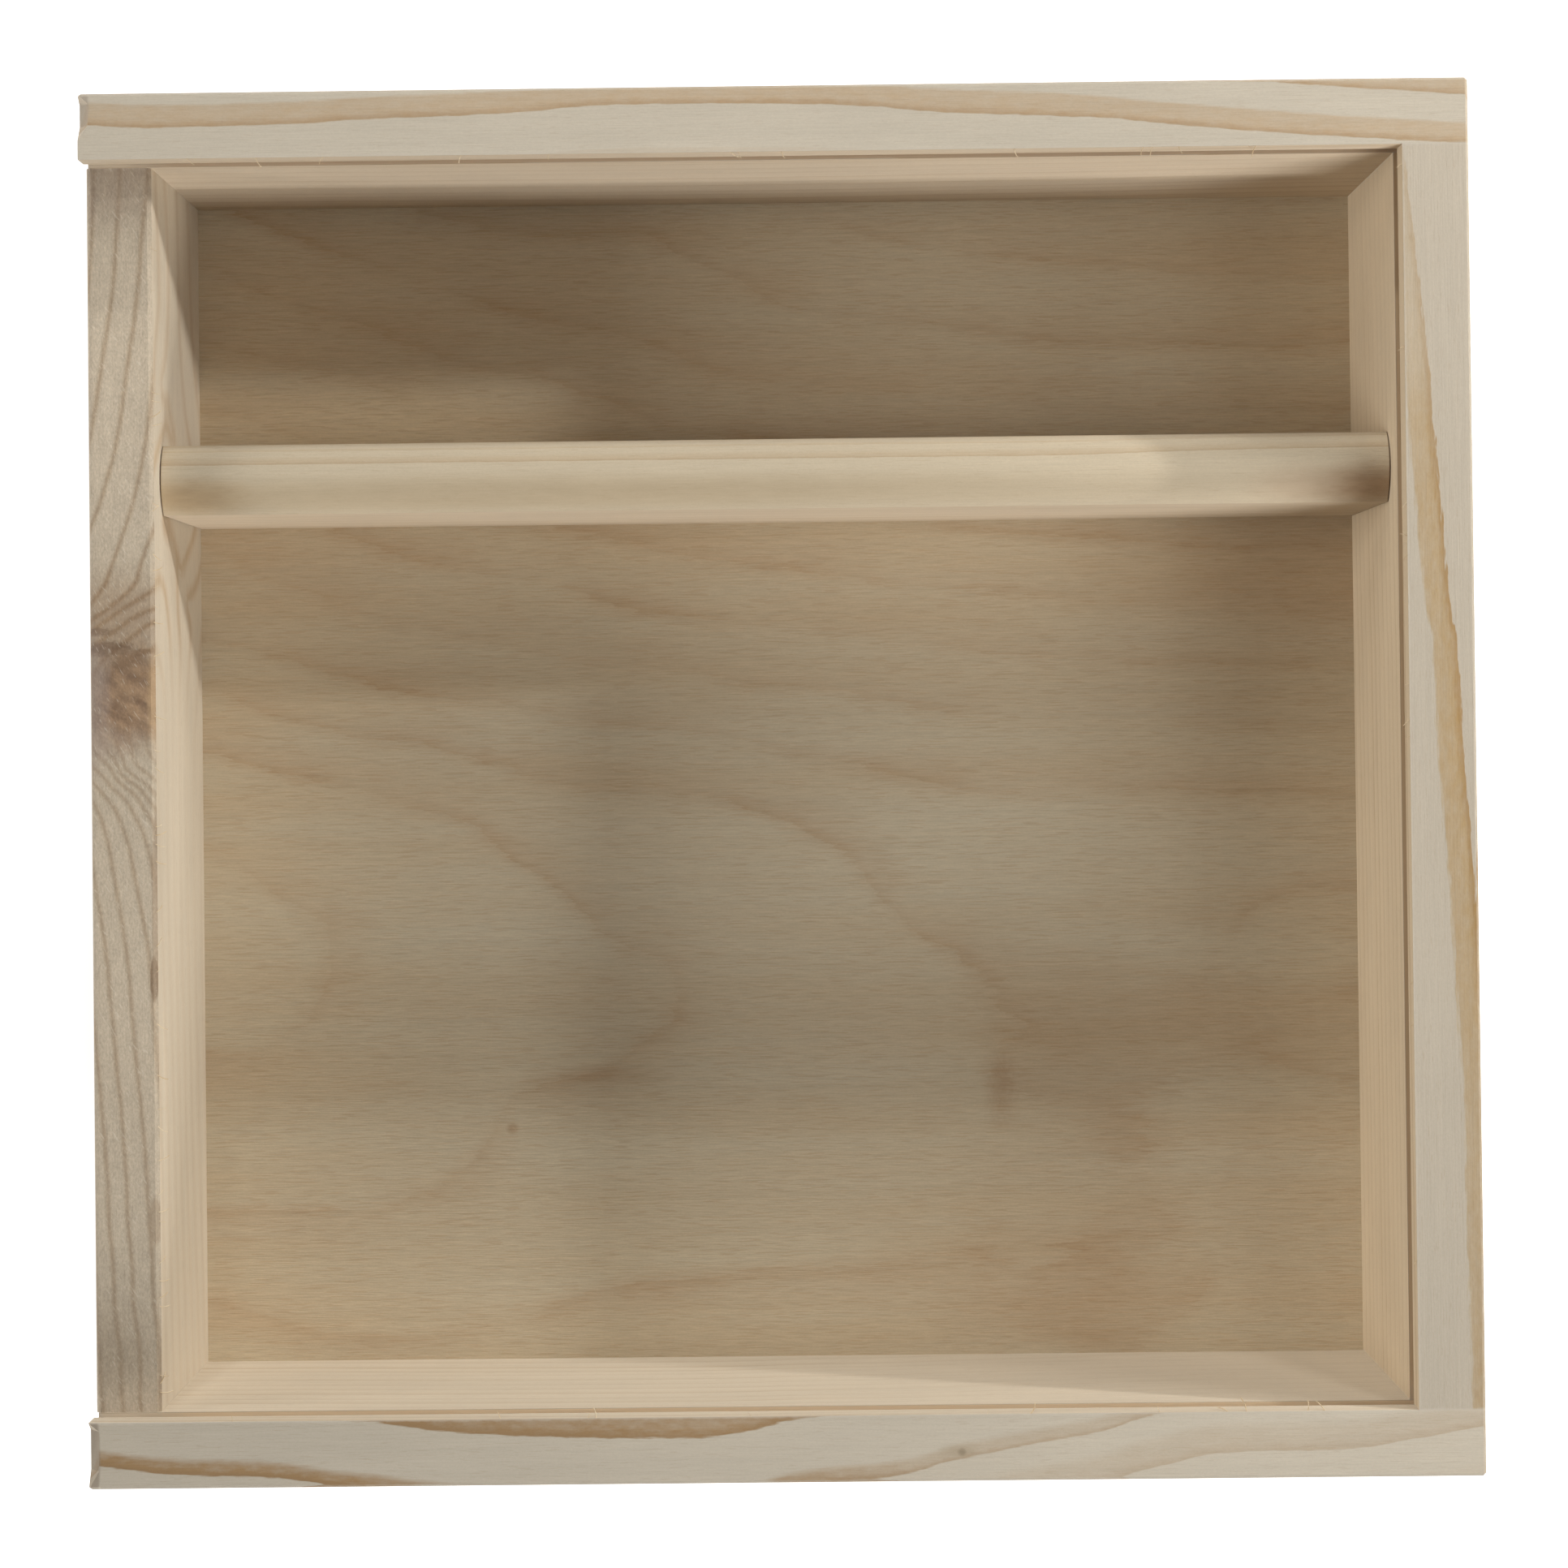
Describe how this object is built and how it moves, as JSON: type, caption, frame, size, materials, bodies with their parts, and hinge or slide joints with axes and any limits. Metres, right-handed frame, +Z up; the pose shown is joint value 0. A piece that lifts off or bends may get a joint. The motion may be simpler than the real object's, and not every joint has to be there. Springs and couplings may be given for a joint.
{
  "type": "sliding lid box",
  "caption": "Low square pine box with a crowned divider set off centre and a thin plywood lid that slides into grooves from one end.",
  "frame": {"origin": "centre of the floor panel's underside, on which the box rests", "axes": "+X from the entry wall to the end wall, the way the lid slides shut; +Y from the front rail to the back rail; +Z up"},
  "size_m": [0.4387, 0.21, 0.046],
  "materials": {
    "pine": "planed, unfinished",
    "plywood": "sanded, unfinished",
    "brad_steel": "bright wire"
  },
  "bodies": {
    "box": {"back_rail": "pine", "front_rail": "pine", "right_wall": "pine", "left_wall": "pine", "divider": "pine", "floor_panel": "plywood", "back_left_brads": "brad_steel", "back_right_brads": "brad_steel", "front_left_brads": "brad_steel", "front_right_brads": "brad_steel", "divider_left_brads": "brad_steel", "divider_right_brads": "brad_steel", "floor_brads": "brad_steel"},
    "lid": {"lid": "plywood"}
  },
  "joints": [
    {"name": "lid_slide", "type": "slide", "parent": "box", "child": "lid", "axis": [1, 0, 0], "range_m": [0, 0.2287]}
  ]
}
